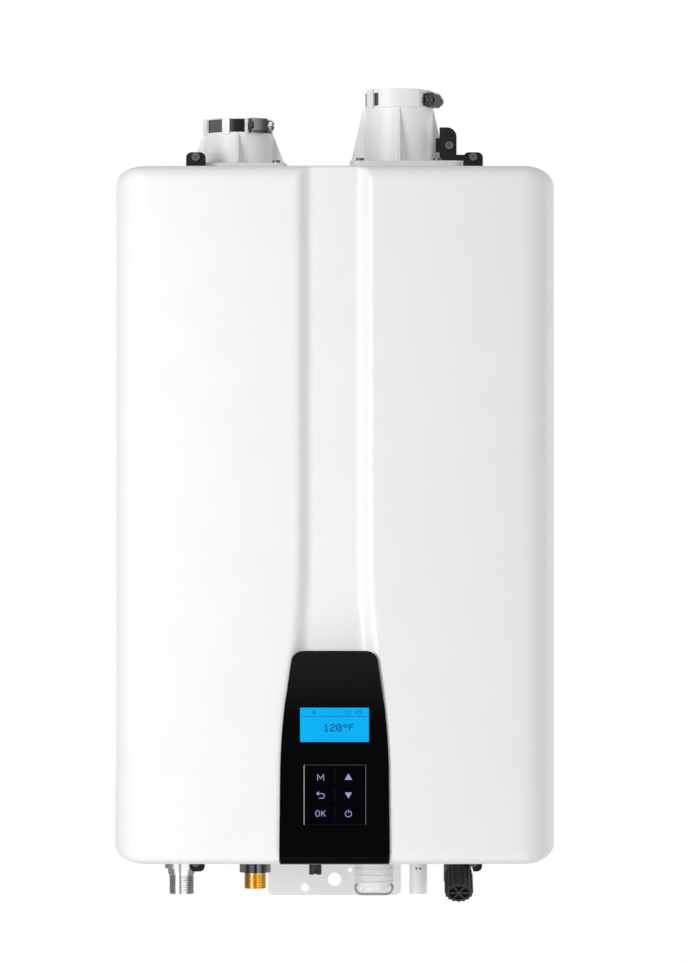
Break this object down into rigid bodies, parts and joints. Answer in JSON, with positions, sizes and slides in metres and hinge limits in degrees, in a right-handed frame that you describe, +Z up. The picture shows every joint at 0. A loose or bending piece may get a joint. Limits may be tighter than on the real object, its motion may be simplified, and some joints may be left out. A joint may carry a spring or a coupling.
{
  "type": "tankless water heater",
  "caption": "Wall-hung tankless water heater with a lift-off front cover, lit control panel and keys, vent collars on top and pipe fittings below.",
  "frame": {"origin": "middle of the upper wall bracket's row of screw holes, on the wall plane", "axes": "+Y into the wall, -Y out of the front cover, +Z up, +X to the right seen from the front"},
  "size_m": [0.44, 0.336, 0.8483],
  "materials": {
    "cover_white": "smooth powder coat",
    "case_white": "smooth powder coat",
    "bracket_grey": "zinc plated and painted sheet",
    "black_metal": "satin black coat",
    "screw_steel": "zinc plated",
    "bright_steel": "rolled stainless",
    "seal_rubber": "foam rubber",
    "collar_plastic": "moulded",
    "panel_black": "polished black moulding",
    "display_blue": "lit window",
    "module_white": "moulded",
    "key_black": "printed black moulding",
    "board_green": "soldered board",
    "nickel": "nickel plated",
    "brass": "turned",
    "copper": "drawn copper",
    "nut_grey": "dark plated",
    "gland_black": "moulded",
    "trap_white": "moulded",
    "tube_grey": "extruded",
    "cap_black": "moulded, ribbed",
    "duct_grey": "moulded",
    "filter_grey": "moulded",
    "cast_aluminium": "die cast",
    "motor_black": "coated",
    "ceramic_white": "ceramic",
    "valve_grey": "moulded",
    "wire_black": "braided sleeve"
  },
  "bodies": {
    "heater": {"rear_case": "case_white", "wall_bracket": "bracket_grey", "lower_bracket": "bracket_grey", "case_gasket": "seal_rubber", "cross_rail": "bracket_grey", "case_lugs": "black_metal", "case_screws": "screw_steel", "panel_bezel": "panel_black", "display_lens": "display_blue", "display_module": "module_white", "key_plate": "key_black", "panel_board": "board_green", "exhaust_collar": "collar_plastic", "intake_collar": "collar_plastic", "collar_gaskets": "seal_rubber", "clamp_bands": "bright_steel", "lock_plate": "black_metal", "air_filter": "filter_grey", "flue_duct": "duct_grey", "secondary_exchanger": "bright_steel", "primary_exchanger": "bright_steel", "burner_head": "bright_steel", "igniter": "ceramic_white", "condensate_tray": "duct_grey", "fan_housing": "cast_aluminium", "fan_motor": "motor_black", "venturi_body": "valve_grey", "gas_valve": "cast_aluminium", "gas_pipe": "cast_aluminium", "gas_inlet_fitting": "brass", "gas_lock_nut": "nut_grey", "hot_pipe": "copper", "hot_outlet_fitting": "nickel", "inlet_housing": "cap_black", "flow_sensor": "valve_grey", "water_valve": "brass", "cold_pipe": "copper", "condensate_trap": "trap_white", "condensate_tube": "tube_grey", "control_box": "valve_grey", "control_board": "board_green", "cable_gland": "gland_black", "wiring_harness": "wire_black"},
    "front_cover": {"front_cover": "cover_white", "cover_lugs": "black_metal", "cover_screws": "screw_steel"},
    "mode_key": {"key_mode": "key_black"},
    "back_key": {"key_back": "key_black"},
    "ok_key": {"key_ok": "key_black"},
    "up_key": {"key_up": "key_black"},
    "down_key": {"key_down": "key_black"},
    "power_key": {"key_power": "key_black"},
    "fan_wheel": {"fan_impeller": "valve_grey"},
    "turbine": {"flow_turbine": "trap_white"},
    "flap": {"damper_flap": "cast_aluminium"},
    "strainer": {"filter_strainer": "filter_grey"},
    "cap": {"filter_cap": "cap_black"},
    "exhaust_worm": {"exhaust_clamp_screw": "screw_steel"},
    "intake_worm": {"intake_clamp_screw": "screw_steel"},
    "bail": {"trap_bail": "screw_steel"}
  },
  "joints": [
    {"name": "cover_lift_off", "type": "slide", "parent": "heater", "child": "front_cover", "axis": [0, -1, 0], "range_m": [0, 0.25]},
    {"name": "mode_press", "type": "slide", "parent": "heater", "child": "mode_key", "axis": [0, 1, 0], "range_m": [0, 0.0006], "stiffness_N_per_m": 1500},
    {"name": "back_press", "type": "slide", "parent": "heater", "child": "back_key", "axis": [0, 1, 0], "range_m": [0, 0.0006], "stiffness_N_per_m": 1500},
    {"name": "ok_press", "type": "slide", "parent": "heater", "child": "ok_key", "axis": [0, 1, 0], "range_m": [0, 0.0006], "stiffness_N_per_m": 1500},
    {"name": "up_press", "type": "slide", "parent": "heater", "child": "up_key", "axis": [0, 1, 0], "range_m": [0, 0.0006], "stiffness_N_per_m": 1500},
    {"name": "down_press", "type": "slide", "parent": "heater", "child": "down_key", "axis": [0, 1, 0], "range_m": [0, 0.0006], "stiffness_N_per_m": 1500},
    {"name": "power_press", "type": "slide", "parent": "heater", "child": "power_key", "axis": [0, 1, 0], "range_m": [0, 0.0006], "stiffness_N_per_m": 1500},
    {"name": "fan_spin", "type": "hinge", "parent": "heater", "child": "fan_wheel", "pos_m": [-0.12, -0.245, -0.168], "axis": [0, 1, 0], "continuous": true},
    {"name": "turbine_spin", "type": "hinge", "parent": "heater", "child": "turbine", "pos_m": [0.127, -0.13, -0.578], "axis": [0, 0, 1], "continuous": true},
    {"name": "damper_turn", "type": "hinge", "parent": "heater", "child": "flap", "pos_m": [-0.12, -0.165, -0.168], "axis": [1, 0, 0], "range_deg": [0, 80]},
    {"name": "filter_pull", "type": "slide", "parent": "heater", "child": "strainer", "axis": [0, -0.7071, -0.7071], "range_m": [0, 0.072]},
    {"name": "filter_cap_turn", "type": "hinge", "parent": "strainer", "child": "cap", "pos_m": [0.127, -0.205, -0.73], "axis": [0, -0.7071, -0.7071], "continuous": true},
    {"name": "exhaust_clamp_turn", "type": "hinge", "parent": "heater", "child": "exhaust_worm", "pos_m": [0.10293, -0.16035, 0.0675], "axis": [0.4067, 0.9135, 0], "continuous": true},
    {"name": "intake_clamp_turn", "type": "hinge", "parent": "heater", "child": "intake_worm", "pos_m": [-0.07811, -0.17772, 0.0398], "axis": [0.8387, 0.5446, 0], "continuous": true},
    {"name": "trap_bail_swing", "type": "hinge", "parent": "heater", "child": "bail", "pos_m": [0.0406, -0.18, -0.7428], "axis": [1, 0, 0], "range_deg": [-38, 38]}
  ]
}
